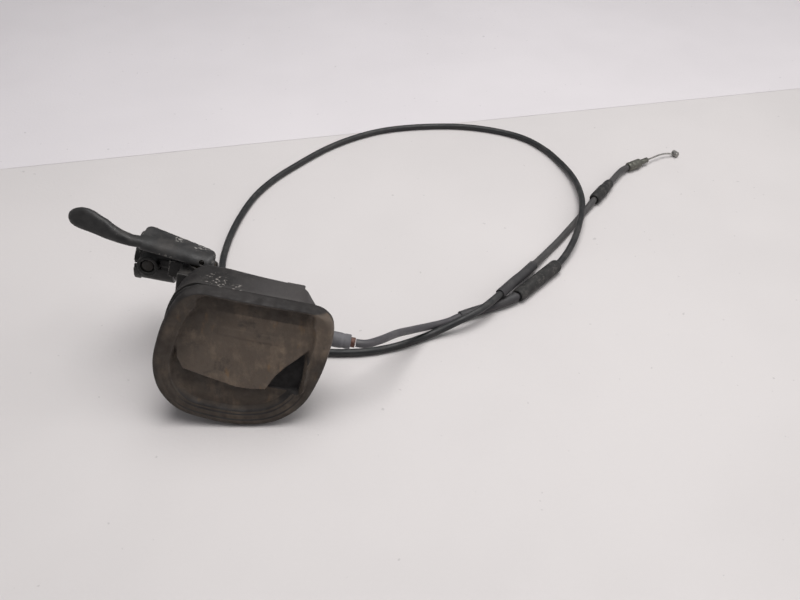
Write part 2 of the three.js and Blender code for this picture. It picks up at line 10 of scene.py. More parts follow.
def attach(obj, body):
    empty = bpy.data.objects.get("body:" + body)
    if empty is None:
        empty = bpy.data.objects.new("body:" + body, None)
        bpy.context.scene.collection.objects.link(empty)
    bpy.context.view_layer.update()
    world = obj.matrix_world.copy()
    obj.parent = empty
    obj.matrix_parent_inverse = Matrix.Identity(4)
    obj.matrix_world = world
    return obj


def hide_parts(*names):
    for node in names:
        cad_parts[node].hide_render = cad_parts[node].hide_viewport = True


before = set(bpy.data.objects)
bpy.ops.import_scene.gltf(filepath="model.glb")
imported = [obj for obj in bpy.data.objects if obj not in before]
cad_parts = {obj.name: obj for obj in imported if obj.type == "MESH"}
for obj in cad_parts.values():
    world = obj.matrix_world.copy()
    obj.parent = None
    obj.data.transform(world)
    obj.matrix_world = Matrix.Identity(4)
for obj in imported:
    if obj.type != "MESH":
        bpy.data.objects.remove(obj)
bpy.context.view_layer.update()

MM = 0.001
CENTRE = Vector((-108.135, 378.703, 0.0))  # layout point under the middle of the throttle, in mm
HOUSING_AT = Vector((-90.5, 327, 3.34))
ROLL = math.radians(12)
LEAN = math.radians(12)
CAMERA_HEIGHT = 370
CAMERA_PITCH = math.radians(40)
TOP = 84.5
COVER_TOP = 81


def laid(x, y, z):
    """A layout point in mm, in the row frame."""
    return (Vector((x, y, z)) - CENTRE) * MM


HOUSING_TURN = Matrix.Rotation(-LEAN, 4, "X") @ Matrix.Rotation(ROLL, 4, "Y")
HOUSING = Matrix.Translation(laid(*HOUSING_AT)) @ HOUSING_TURN


def in_housing(x, y, z):
    """A point of the housing's own frame in mm, in the row frame."""
    return HOUSING @ (Vector((x, y, z)) * MM)


def line_frame(start, direction):
    """A frame at a layout point whose x axis runs along a direction."""
    turn = Vector((1, 0, 0)).rotation_difference(Vector(direction).normalized())
    return Matrix.Translation(laid(*start)) @ turn.to_matrix().to_4x4()


# ---- camera, light and surroundings ----
def add_camera():
    data = bpy.data.cameras.new("camera")
    data.lens = 38.25
    data.sensor_width = 36
    data.clip_start = 0.01
    camera = bpy.data.objects.new("camera", data)
    camera.location = laid(0, 0, CAMERA_HEIGHT)
    camera.rotation_euler = (math.pi / 2 - CAMERA_PITCH, 0, 0)
    bpy.context.scene.collection.objects.link(camera)
    bpy.context.scene.camera = camera


def add_light(name, place, aim, size, power, colour=(1, 1, 1)):
    data = bpy.data.lights.new(name, "AREA")
    data.shape = "DISK"
    data.size = size
    data.energy = power
    data.color = colour
    light = bpy.data.objects.new(name, data)
    light.location = place
    light.rotation_euler = (Vector(aim) - Vector(place)).to_track_quat("-Z", "Y").to_euler()
    bpy.context.scene.collection.objects.link(light)


def add_surroundings():
    world = bpy.data.worlds.new("soft room")
    world.use_nodes = True
    world.node_tree.nodes["Background"].inputs["Color"].default_value = (0.97, 0.965, 1.0, 1)
    world.node_tree.nodes["Background"].inputs["Strength"].default_value = 0.225
    bpy.context.scene.world = world
    bpy.context.scene.view_settings.view_transform = "Standard"
    add_light("overhead", (0.45, 0.3, 1.5), (0.15, 0.1, 0), 1.3, 12, (1, 0.985, 0.97))
    add_light("far wash", (0.1, -0.05, 0.95), (0.05, 0.42, 0.05), 0.7, 4.4, (1, 0.985, 0.985))
    add_light("window", (1.4, -0.25, 0.9), (0.0, 0.05, 0.03), 1.2, 4.8, (1.0, 0.985, 0.975))
    floor = flat_sheet("floor", [(-4, -3, 0), (4, -3, 0), (4, 5, 0), (-4, 5, 0)])
    floor.data.materials.append(floor_material("pale floor", (0.655, 0.628, 0.622)))
    # A paler sheet past this line stands for a wall. It lies flat, so that it hides nothing from behind.
    foot = [laid(-326, 610.5, 0.2), laid(379, 756.5, 0.2)]
    along = (foot[1] - foot[0]).normalized()
    left, right = foot[0] - 3 * along, foot[1] + 3 * along
    away = 3 * Vector((-along.y, along.x, 0))
    backdrop = flat_sheet("backdrop", [left, right, right + away, left + away])
    backdrop.data.materials.append(floor_material("pale backdrop", (0.725, 0.695, 0.712)))


def flat_sheet(name, corners):
    mesh = bpy.data.meshes.new(name)
    mesh.from_pydata([tuple(c) for c in corners], [], [(0, 1, 2, 3)])
    return linked(name, mesh)


def linked(name, mesh, matrix=None):
    if matrix is not None:
        mesh.transform(matrix)
    piece = bpy.data.objects.new(name, mesh)
    bpy.context.scene.collection.objects.link(piece)
    return piece


# ---- materials ----
class Finish:
    """A Principled material with a few node helpers. Sizes are in millimetres of the row frame."""

    def __init__(self, name, roughness=0.5, metallic=0.0, specular=0.5):
        self.material = bpy.data.materials.new(name)
        self.material.use_nodes = True
        self.nodes = self.material.node_tree.nodes
        self.links = self.material.node_tree.links
        self.shader = self.nodes["Principled BSDF"]
        self.shader.inputs["Roughness"].default_value = roughness
        self.shader.inputs["Metallic"].default_value = metallic
        self.shader.inputs["Specular IOR Level"].default_value = specular
        place = self.nodes.new("ShaderNodeTexCoord")
        self.place = self.maths3("SCALE", place.outputs["Object"], scale=1000)

    def maths3(self, kind, vector, scale=None, by=None):
        node = self.nodes.new("ShaderNodeVectorMath")
        node.operation = kind
        self.links.new(vector, node.inputs[0])
        if scale is not None:
            node.inputs["Scale"].default_value = scale
        if by is not None:
            node.inputs[1].default_value = by
        return node.outputs["Vector"]

    def put(self, value, socket):
        if isinstance(value, (int, float)):
            socket.default_value = value
        elif isinstance(value, tuple):
            socket.default_value = (*value, 1)
        else:
            self.links.new(value, socket)

    def noise(self, size, detail=3.0, rough=0.55, stretch=(1, 1, 1)):
        node = self.nodes.new("ShaderNodeTexNoise")
        node.inputs["Scale"].default_value = 1.0
        node.inputs["Detail"].default_value = detail
        node.inputs["Roughness"].default_value = rough
        scaled = self.maths3("MULTIPLY", self.place, by=tuple(s / size for s in stretch))
        self.links.new(scaled, node.inputs["Vector"])
        return node.outputs["Fac"]

    def spread(self, value, low, high, to_low=0.0, to_high=1.0):
        node = self.nodes.new("ShaderNodeMapRange")
        node.interpolation_type = "SMOOTHSTEP"
        self.links.new(value, node.inputs["Value"])
        for socket, number in zip(("From Min", "From Max", "To Min", "To Max"), (low, high, to_low, to_high)):
            node.inputs[socket].default_value = number
        return node.outputs["Result"]

    def maths(self, kind, a, b=0.0):
        node = self.nodes.new("ShaderNodeMath")
        node.operation = kind
        self.put(a, node.inputs[0])
        self.put(b, node.inputs[1])
        return node.outputs["Value"]

    def mix(self, share, a, b):
        node = self.nodes.new("ShaderNodeMix")
        node.data_type = "RGBA"
        self.put(share, node.inputs["Factor"])
        self.put(a, node.inputs["A"])
        self.put(b, node.inputs["B"])
        return node.outputs["Result"]

    def value_of(self, attribute):
        node = self.nodes.new("ShaderNodeAttribute")
        node.attribute_name = attribute
        return node.outputs["Fac"]

    def near(self, point, radius):
        """1 close to a point given in metres, falling to 0 at a radius in mm."""
        node = self.nodes.new("ShaderNodeVectorMath")
        node.operation = "DISTANCE"
        self.links.new(self.place, node.inputs[0])
        node.inputs[1].default_value = tuple(point / MM)
        return self.spread(node.outputs["Value"], 0.4 * radius, radius, 1.0, 0.0)

    def facing_up(self):
        geometry = self.nodes.new("ShaderNodeNewGeometry")
        split = self.nodes.new("ShaderNodeSeparateXYZ")
        self.links.new(geometry.outputs["Normal"], split.inputs["Vector"])
        return split.outputs["Z"]

    def bump(self, height, distance, strength=1.0):
        node = self.nodes.new("ShaderNodeBump")
        node.inputs["Strength"].default_value = strength
        node.inputs["Distance"].default_value = distance * MM
        self.links.new(height, node.inputs["Height"])
        self.links.new(node.outputs["Normal"], self.shader.inputs["Normal"])

    def wear(self, colour, roughness, metallic=None):
        self.put(colour, self.shader.inputs["Base Color"])
        self.put(roughness, self.shader.inputs["Roughness"])
        if metallic is not None:
            self.put(metallic, self.shader.inputs["Metallic"])
        return self.material


def floor_material(name, tone):
    f = Finish(name, roughness=0.55, specular=0.3)
    patches = f.spread(f.noise(180, 3), 0.35, 0.65)
    base = f.mix(patches, tone, tuple(c * 1.035 for c in tone))
    specks = f.spread(f.noise(5, 2, 0.4), 0.735, 0.78)
    colour = f.mix(f.maths("MULTIPLY", specks, 0.45), base, tuple(c * 0.62 for c in tone))
    f.bump(f.noise(2.5, 4), 0.12)
    return f.wear(colour, f.spread(f.noise(40), 0.3, 0.7, 0.5, 0.62))


def cover_dust_and_painted_light_material():
    f = Finish("cover plastic, dust and painted light", specular=0.25)
    base = f.mix(f.spread(f.noise(7, 5), 0.35, 0.65), (0.027, 0.022, 0.019), (0.044, 0.037, 0.031))
    broad = f.spread(f.noise(17, 5, 0.66), 0.42, 0.6)
    streaks = f.spread(f.noise(9, 5, 0.65, (1.25, 1, 0.55)), 0.4, 0.7)
    dust = f.maths("MULTIPLY", f.maths("MULTIPLY", broad, streaks), f.value_of("dust"))
    dusty = f.mix(f.maths("MULTIPLY", f.value_of("dust"), 0.68), base, (0.145, 0.114, 0.09))
    dusty = f.mix(f.maths("MULTIPLY", dust, 0.85), dusty, (0.215, 0.163, 0.118))
    ochre = f.maths("MULTIPLY", f.spread(f.noise(11, 4, 0.6, (1.5, 1, 0.5)), 0.6, 0.74), f.value_of("dust"))
    dusty = f.mix(f.maths("MULTIPLY", ochre, 0.6), dusty, (0.24, 0.135, 0.06))
    smudges = f.maths("MULTIPLY", f.spread(f.noise(13, 4, 0.7), 0.56, 0.72), 0.6)
    dusty = f.mix(smudges, dusty, (0.04, 0.035, 0.032))
    scuffs = f.maths("MULTIPLY", f.spread(f.noise(2.2, 4, 0.7), 0.62, 0.75), f.spread(f.noise(12), 0.45, 0.6))
    edges = f.maths("MULTIPLY", f.spread(f.value_of("edge"), 0.03, 0.14), f.spread(f.noise(5, 4), 0.4, 0.62))
    colour = f.mix(f.maths("MULTIPLY", f.maths("ADD", scuffs, edges), 0.22), dusty, (0.17, 0.155, 0.14))
    grey = f.mix(f.spread(f.noise(9, 4), 0.35, 0.65), (0.021, 0.019, 0.0185), (0.033, 0.030, 0.029))
    greyness = f.maths("MULTIPLY", f.spread(f.facing_up(), 0.3, 0.6), f.spread(f.value_of("dust"), 0.7, 0.3))
    colour = f.mix(greyness, colour, grey)
    # Painted shade: where the dust value is below zero, in the pocket, the colour goes near black.
    colour = f.mix(f.spread(f.value_of("dust"), -0.35, 0.0), (0.012, 0.011, 0.011), colour)
    f.bump(f.maths("ADD", f.noise(0.9, 5, 0.6), f.maths("MULTIPLY", f.noise(6, 3), 1.5)), 0.14)
    return f.wear(colour, f.spread(f.noise(4, 4), 0.3, 0.7, 0.52, 0.82))


def scuffed_plastic_material():
    f = Finish("housing plastic", specular=0.25)
    base = f.mix(f.spread(f.noise(9, 4), 0.35, 0.65), (0.011, 0.0101, 0.0099), (0.018, 0.0166, 0.0162))
    # Painted light: the shell is paler towards its right top corner, for the light that falls from the right.
    base = f.mix(f.near(in_housing(36, 14, 83), 66), base, (0.052, 0.048, 0.0475))
    dust = f.maths("MULTIPLY", f.spread(f.facing_up(), 0.2, 0.9), f.spread(f.noise(14, 5, 0.62), 0.42, 0.68))
    dusty = f.mix(f.maths("MULTIPLY", dust, 0.28), base, (0.075, 0.068, 0.064))
    near_edge = f.maths("MULTIPLY", f.spread(f.value_of("edge"), 0.05, 0.2), 0.15)
    specks, clusters = f.spread(f.noise(1.6, 4, 0.7), 0.6, 0.72), f.spread(f.noise(10, 2), 0.52, 0.62)
    chips = f.maths("MULTIPLY", specks, clusters)
    colour = f.mix(f.maths("MULTIPLY", f.maths("ADD", chips, near_edge), 0.4), dusty, (0.17, 0.16, 0.15))
    knocked = f.maths("MAXIMUM", f.near(in_housing(-26, 11, 82.2), 8), f.near(in_housing(-14, 8, 81.4), 5))
    scrapes = f.maths("MULTIPLY", f.spread(f.noise(1.5, 3, 0.6, (0.7, 1.3, 1)), 0.57, 0.64), knocked)
    colour = f.mix(f.maths("MULTIPLY", scrapes, 0.75), colour, (0.4, 0.37, 0.34))
    f.bump(f.noise(0.8, 4), 0.1)
    return f.wear(colour, f.spread(f.noise(5), 0.3, 0.7, 0.45, 0.7))


def painted_alloy_material(name, chipped=1.0, tone=(0.028, 0.028, 0.029)):
    f = Finish(name, specular=0.35)
    base = f.mix(f.spread(f.noise(8, 4), 0.35, 0.65), tone, tuple(c * 1.7 for c in tone))
    dust = f.maths("MULTIPLY", f.spread(f.facing_up(), 0.1, 0.9), f.spread(f.noise(10, 5, 0.65), 0.45, 0.7))
    dusty = f.mix(f.maths("MULTIPLY", dust, 0.35), base, (0.085, 0.076, 0.07))
    edges, patches = f.spread(f.value_of("edge"), 0.04, 0.2), f.spread(f.noise(3, 4, 0.7), 0.36, 0.6)
    rub = f.maths("MULTIPLY", edges, patches)
    rubbed = f.mix(f.maths("MULTIPLY", rub, 0.45), dusty, (0.16, 0.15, 0.14))
    chips = f.maths("MULTIPLY", f.spread(f.noise(1.7, 3, 0.6), 0.56, 0.6), f.spread(f.noise(9, 2), 0.55, 0.6))
    chips = f.maths("MULTIPLY", f.maths("MULTIPLY", chips, f.spread(f.value_of("edge"), 0.02, 0.07)), chipped)
    hub_end, hub_back = f.near(in_housing(-40.5, 45.5, 82.5), 5.5), f.near(in_housing(-54, 51.5, 83), 5)
    knocked = f.maths("MAXIMUM", hub_end, hub_back)
    knocked = f.maths("MULTIPLY", knocked, f.spread(f.noise(1.9, 3, 0.6), 0.52, 0.57))
    chips = f.maths("MAXIMUM", f.maths("MULTIPLY", chips, 0.5), f.maths("MULTIPLY", knocked, chipped))
    colour = f.mix(chips, rubbed, (0.5, 0.48, 0.45))
    f.bump(f.noise(1.1, 4), 0.08)
    return f.wear(colour, f.spread(f.noise(5), 0.3, 0.7, 0.4, 0.62), f.maths("MULTIPLY", chips, 0.85))


def metal_material(name, bright, dull, grime, rough=(0.3, 0.5), grimy=0.5):
    f = Finish(name, metallic=0.9)
    base = f.mix(f.spread(f.noise(2.5, 4), 0.35, 0.65), bright, dull)
    dirt = f.maths("MULTIPLY", f.spread(f.noise(4, 5, 0.65), 0.45, 0.65), grimy)
    colour = f.mix(dirt, base, grime)
    f.bump(f.noise(0.5, 3), 0.04)
    return f.wear(colour, f.spread(f.noise(1.5, 4), 0.3, 0.7, *rough), f.maths("SUBTRACT", 0.92, dirt))


def rubber_material(name, dark, light, dusty=0.4):
    f = Finish(name, specular=0.35)
    base = f.mix(f.spread(f.noise(5, 4), 0.35, 0.65), dark, light)
    dust = f.maths("MULTIPLY", f.spread(f.noise(3, 5, 0.7), 0.5, 0.7), dusty)
    colour = f.mix(dust, base, (0.19, 0.175, 0.16))
    f.bump(f.noise(0.6, 4), 0.07)
    return f.wear(colour, f.spread(f.noise(2.5), 0.3, 0.7, 0.55, 0.78))


def conduit_material(name, black, grey, share=None, gloss=0.42):
    """The conduit's jacket: clean and black, or greyed by dust where the share along it says so."""
    f = Finish(name, specular=0.45)
    base = black
    if share is not None:
        base = f.mix(f.spread(f.value_of("along"), share - 0.01, share + 0.03), black, grey)
    dust = f.maths("MULTIPLY", f.spread(f.noise(9, 5, 0.65), 0.42, 0.7), f.spread(f.facing_up(), -0.2, 0.9))
    colour = f.mix(f.maths("MULTIPLY", dust, 0.17), base, (0.16, 0.15, 0.14))
    scratches = f.spread(f.noise(1.2, 3, 0.7), 0.66, 0.74)
    colour = f.mix(f.maths("MULTIPLY", scratches, 0.25), colour, (0.22, 0.21, 0.2))
    f.bump(f.noise(1.0, 3), 0.03)
    return f.wear(colour, f.spread(f.noise(6), 0.3, 0.7, gloss, gloss + 0.16))


# ---- mesh building ----
def mesh_of(name, points, faces, matrix=None):
    """A smooth-shaded object from points in mm of the frame that the matrix gives."""
    mesh = bpy.data.meshes.new(name)
    mesh.from_pydata([tuple(Vector(p) * MM) for p in points], [], faces)
    mesh.validate()
    piece = linked(name, mesh, matrix)
    tidy_mesh(piece)
    return piece


def tidy_mesh(piece, angle=35):
    """Merges doubled points, turns the faces outwards and shades it smooth up to an angle."""
    work = bmesh.new()
    work.from_mesh(piece.data)
    bmesh.ops.remove_doubles(work, verts=work.verts, dist=1e-7)
    bmesh.ops.recalc_face_normals(work, faces=work.faces)
    sharp = math.radians(angle)
    for edge in work.edges:
        edge.smooth = len(edge.link_faces) != 2 or edge.calc_face_angle(0.0) < sharp
    for face in work.faces:
        face.smooth = True
    work.to_mesh(piece.data)
    work.free()


def apply_modifiers(piece):
    graph = bpy.context.evaluated_depsgraph_get()
    result = bpy.data.meshes.new_from_object(piece.evaluated_get(graph))
    piece.modifiers.clear()
    piece.data = result


def cut(piece, cutters, operation="DIFFERENCE"):
    for cutter in cutters:
        modifier = piece.modifiers.new("cut", "BOOLEAN")
        modifier.operation = operation
        modifier.solver = "EXACT"
        modifier.object = cutter
        apply_modifiers(piece)
        bpy.data.objects.remove(cutter)


def soften(piece, voxel, rounds=3):
    """Rounds every edge by a fine voxel remesh and a little smoothing."""
    remesh = piece.modifiers.new("remesh", "REMESH")
    remesh.mode = "VOXEL"
    remesh.voxel_size = voxel * MM
    remesh.use_smooth_shade = True
    smooth = piece.modifiers.new("smooth", "SMOOTH")
    smooth.factor = 0.5
    smooth.iterations = rounds
    apply_modifiers(piece)
    mark_edges(piece.data)


def mark_edges(mesh, rounds=2):
    """Stores how far each point stands out from its neighbours, for wear along the edges."""
    count = len(mesh.vertices)
    place = np.empty(count * 3)
    mesh.vertices.foreach_get("co", place)
    normal = np.empty(count * 3)
    mesh.vertices.foreach_get("normal", normal)
    ends = np.empty(len(mesh.edges) * 2, dtype=np.int64)
    mesh.edges.foreach_get("vertices", ends)
    place, normal, ends = place.reshape(-1, 3), normal.reshape(-1, 3), ends.reshape(-1, 2)
    step = place[ends[:, 0]] - place[ends[:, 1]]
    step /= np.maximum(np.linalg.norm(step, axis=1), 1e-12)[:, None]
    total, links = np.zeros(count), np.zeros(count)
    for side, sign in ((0, 1), (1, -1)):
        np.add.at(total, ends[:, side], sign * (normal[ends[:, side]] * step).sum(axis=1))
        np.add.at(links, ends[:, side], 1)
    links = np.maximum(links, 1)
    value = total / links
    for _ in range(rounds):
        spread = np.zeros(count)
        np.add.at(spread, ends[:, 0], value[ends[:, 1]])
        np.add.at(spread, ends[:, 1], value[ends[:, 0]])
        value = 0.5 * value + 0.5 * spread / links
    attribute = mesh.attributes.get("edge") or mesh.attributes.new("edge", "FLOAT", "POINT")
    attribute.data.foreach_set("value", value.astype(np.float32))


def loft(name, rings, matrix):
    """A closed form through rings of points, with a fan at each end."""
    count = len(rings[0])
    points = [p for ring in rings for p in ring]
    faces = []
    for k in range(len(rings) - 1):
        for i in range(count):
            j = (i + 1) % count
            faces.append((k * count + i, k * count + j, (k + 1) * count + j, (k + 1) * count + i))
    for ring in (rings[0], rings[-1]):
        points.append(sum((Vector(p) for p in ring), Vector()) / count)
    last = (len(rings) - 1) * count
    for i in range(count):
        j = (i + 1) % count
        faces.append((len(points) - 2, j, i))
        faces.append((len(points) - 1, last + i, last + j))
    return mesh_of(name, points, faces, matrix)


def rounded(profile, radius):
    """The closed profile with each corner replaced by a short curve."""
    points = []
    for i, corner in enumerate(profile):
        before, after = Vector(profile[i - 1]), Vector(profile[(i + 1) % len(profile)])
        corner = Vector(corner)
        ends = []
        for other in (before, after):
            reach = min(radius, 0.45 * (other - corner).length)
            ends.append(corner + (other - corner).normalized() * reach)
        for t in (0.0, 0.25, 0.5, 0.75, 1.0):
            points.append(tuple(ends[0] * (1 - t) ** 2 + corner * 2 * t * (1 - t) + ends[1] * t * t))
    return points


def turned(name, profile, matrix, sides=48, radius=0.3):
    """A ring-shaped piece turned about its frame's x axis, from a closed profile of (radius, distance)."""
    outline = rounded(profile, radius)
    points, faces = [], []
    for i in range(sides):
        angle = 2 * math.pi * i / sides
        points += [(s, r * math.cos(angle), r * math.sin(angle)) for r, s in outline]
    n = len(outline)
    for i in range(sides):
        for k in range(n):
            a, b = i * n + k, i * n + (k + 1) % n
            faces.append((a, b, ((i + 1) % sides) * n + (k + 1) % n, ((i + 1) % sides) * n + k))
    piece = mesh_of(name, points, faces, matrix)
    mark_edges(piece.data)
    return piece


def smooth_route(points, spacing=2.5):
    """Points in mm, evenly spaced on the centripetal Catmull-Rom curve through the route's points."""
    route = [Vector(p) for p in points]
    route = [2 * route[0] - route[1], *route, 2 * route[-1] - route[-2]]
    dense = []
    for a, b, c, d in zip(route, route[1:], route[2:], route[3:]):
        u, v, w = (math.sqrt((q - p).length) for p, q in ((a, b), (b, c), (c, d)))
        start = ((b - a) / u - (c - a) / (u + v) + (c - b) / v) * v
        end = ((c - b) / v - (d - b) / (v + w) + (d - c) / w) * v
        for k in range(24):
            t = k / 24
            square, cube = 3 * (c - b) - 2 * start - end, 2 * (b - c) + start + end
            dense.append(b + start * t + square * t ** 2 + cube * t ** 3)
    dense.append(route[-2])
    lengths = [0.0]
    for p, q in zip(dense, dense[1:]):
        lengths.append(lengths[-1] + (q - p).length)
    count = max(4, round(lengths[-1] / spacing))
    result, k = [], 0
    for i in range(count + 1):
        target = lengths[-1] * i / count
        while k < len(dense) - 2 and lengths[k + 1] < target:
            k += 1
        share = (target - lengths[k]) / max(lengths[k + 1] - lengths[k], 1e-9)
        result.append(dense[k].lerp(dense[k + 1], min(share, 1.0)))
    return result


def stretch_of(route, start, end):
    """The part of a dense route between the places closest to two points."""
    nearest = [min(range(len(route)), key=lambda i: (route[i] - Vector(p)).length) for p in (start, end)]
    return route[nearest[0] : nearest[1] + 1]


def tube(name, route, radius, inner=0.0, sides=20, fluting=0.0, twist=0.0):
    """A tube along dense route points in mm of the layout. Its "along" attribute runs from 0 to 1."""
    side = Vector((0, 0, 1))
    rings, shares = [], []
    walls = [radius, inner] if inner else [radius]
    for i, point in enumerate(route):
        ahead = (route[min(i + 1, len(route) - 1)] - route[max(i - 1, 0)]).normalized()
        side = (side - ahead * side.dot(ahead)).normalized()
        other = ahead.cross(side)
        shares.append(i / (len(route) - 1))
        turn = twist * shares[-1]
        rings.append([[point + (side * math.cos(a) + other * math.sin(a)) * wall
                       * (1 - fluting * abs(math.sin(3 * (a + turn))))
                       for a in (2 * math.pi * k / sides for k in range(sides))] for wall in walls])
    points = [p - CENTRE for ring in rings for wall in ring for p in wall]
    stride = sides * len(walls)
    last = (len(rings) - 1) * stride
    faces = []
    for i in range(len(rings) - 1):
        for w in range(len(walls)):
            for k in range(sides):
                a = i * stride + w * sides
                faces.append((a + k, a + (k + 1) % sides, a + stride + (k + 1) % sides, a + stride + k))
    if inner:
        for a in (0, last):
            for k in range(sides):
                after = (k + 1) % sides
                faces.append((a + k, a + after, a + sides + after, a + sides + k))
    else:
        faces += [tuple(range(sides)), tuple(last + k for k in range(sides))]
    piece = mesh_of(name, points, faces)
    places = np.array([tuple(p - CENTRE) for p in route]) * MM
    here = np.empty(len(piece.data.vertices) * 3)
    piece.data.vertices.foreach_get("co", here)
    here = here.reshape(-1, 3)
    nearest = [int(np.argmin(((places - p) ** 2).sum(axis=1))) for p in here]
    attribute = piece.data.attributes.new("along", "FLOAT", "POINT")
    attribute.data.foreach_set("value", [shares[n] for n in nearest])
    return piece


def box_cutter(x, y, z, matrix):
    corners = [(x[i], y[j], z[k]) for i in (0, 1) for j in (0, 1) for k in (0, 1)]
    faces = [(0, 1, 3, 2), (4, 6, 7, 5), (0, 4, 5, 1), (2, 3, 7, 6), (0, 2, 6, 4), (1, 5, 7, 3)]
    return mesh_of("cutter", corners, faces, matrix)


def rod_cutter(radius, start, end, matrix, sides=32):
    start, end = Vector(start), Vector(end)
    turn = Vector((0, 0, 1)).rotation_difference((end - start).normalized())
    rings = [[turn @ Vector((radius * math.cos(a), radius * math.sin(a), 0)) + at
              for a in (2 * math.pi * k / sides for k in range(sides))] for at in (start, end)]
    return loft("cutter", rings, matrix)


def finished(piece, body, slot, material, *nodes):
    """Puts a piece on a body with its material, in place of CAD nodes, which it hides. The slot argument is not
    used.
    """
    piece.data.materials.clear()
    piece.data.materials.append(material)
    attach(piece, body)
    if nodes:
        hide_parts(*nodes)
    return piece


# ---- cables: the route over the floor, repeated from the CAD in mm of the layout ----
WIRE_AT = (17, 56.2)  # y and z of the inner wire in the housing
ADJUSTER_AT = Vector((78.9, 439.1, 5))
ADJUSTER_ALONG = Vector((31.3, 34.1, 0)).normalized()
STRAIGHT_FROM = Vector((151, 556.7, 4.8))
STRAIGHT_ALONG = Vector((0.569, 0.822, 0)).normalized()
FERRULE_AT = Vector((187.2, 605.5, 4.3))
FERRULE_ALONG = Vector((0.84, 0.5426, 0)).normalized()
CABLE_R = 2.4
LOOSE_R = 2.75  # the bore of the sleeves and boots over the conduit
SLEEVE_R = 3.4
CABLE_EXIT = in_housing(55, *WIRE_AT) / MM + CENTRE
NEAR_ROUTE = [
    CABLE_EXIT, (-19.5, 352.8, 41.5), (-11.8, 359.6, 38), (-1.8, 377.8, 26.8), (9.3, 394.6, 15),
    (20.5, 407.6, 6.5), (30.8, 414.1, 4.1), (39.3, 419.5, 3.9), (49.5, 424.6, 3.9), (59.7, 429.2, 3.9),
    (70, 433.8, 4.5),
    ADJUSTER_AT, ADJUSTER_AT + 1.3 * ADJUSTER_ALONG,
]
MAIN_ROUTE = [
    ADJUSTER_AT + 40.3 * ADJUSTER_ALONG, ADJUSTER_AT + 47 * ADJUSTER_ALONG,
    (118.2, 484.6, 5.8), (126.4, 500.4, 7.6), (133.4, 520.7, 8.4), (138, 537.5, 8.3), (141, 560, 7),
    (139.8, 589, 4.6), (132.7, 616, 3.2), (122, 639, 2.7), (106.9, 656.9, 2.7), (83.4, 670, 2.7),
    (53.3, 677.5, 2.7), (16.8, 677, 2.7), (-15.5, 670, 2.7), (-41, 656.5, 2.7), (-62.9, 638.3, 2.7),
    (-84.5, 613.1, 2.7), (-101.5, 590, 2.7), (-113.5, 566.3, 2.7), (-121.4, 537, 2.7), (-125.8, 504, 2.7),
    (-125.5, 475, 2.7), (-119, 444, 2.7), (-107, 420, 2.7), (-90, 402, 2.7), (-68, 391, 2.7),
    (-43.7, 386.7, 2.7), (-22.2, 387.3, 2.7), (-6.2, 391, 2.7), (8, 396.8, 2.9), (19.6, 402.4, 3.7),
    (32.1, 407.4, 6.9), (41, 410.8, 9.6), (48.5, 415.2, 10.8), (57.2, 423, 11.2), (68.7, 437.2, 10.7),
    (76.5, 448, 9.5), (84.5, 459, 7.6), (94, 473.5, 5), (107.6, 493.3, 3), (117.1, 506.5, 2.7),
    (137, 536.3, 2.7), (145.5, 548.7, 3.9),
    STRAIGHT_FROM, STRAIGHT_FROM + 26 * STRAIGHT_ALONG, STRAIGHT_FROM + 52 * STRAIGHT_ALONG,
    FERRULE_AT - 2.5 * FERRULE_ALONG, FERRULE_AT - 0.5 * FERRULE_ALONG,
]

add_camera()
add_surroundings()
DARK_STEEL = metal_material("blackened steel", (0.06, 0.056, 0.052), (0.035, 0.032, 0.03),
                            (0.02, 0.018, 0.016), (0.45, 0.65), 0.7)
STEEL = metal_material("dull steel", (0.42, 0.41, 0.39), (0.27, 0.26, 0.25), (0.1, 0.085, 0.07))
RUBBER = rubber_material("black rubber", (0.019, 0.019, 0.0185), (0.034, 0.033, 0.032), 0.3)


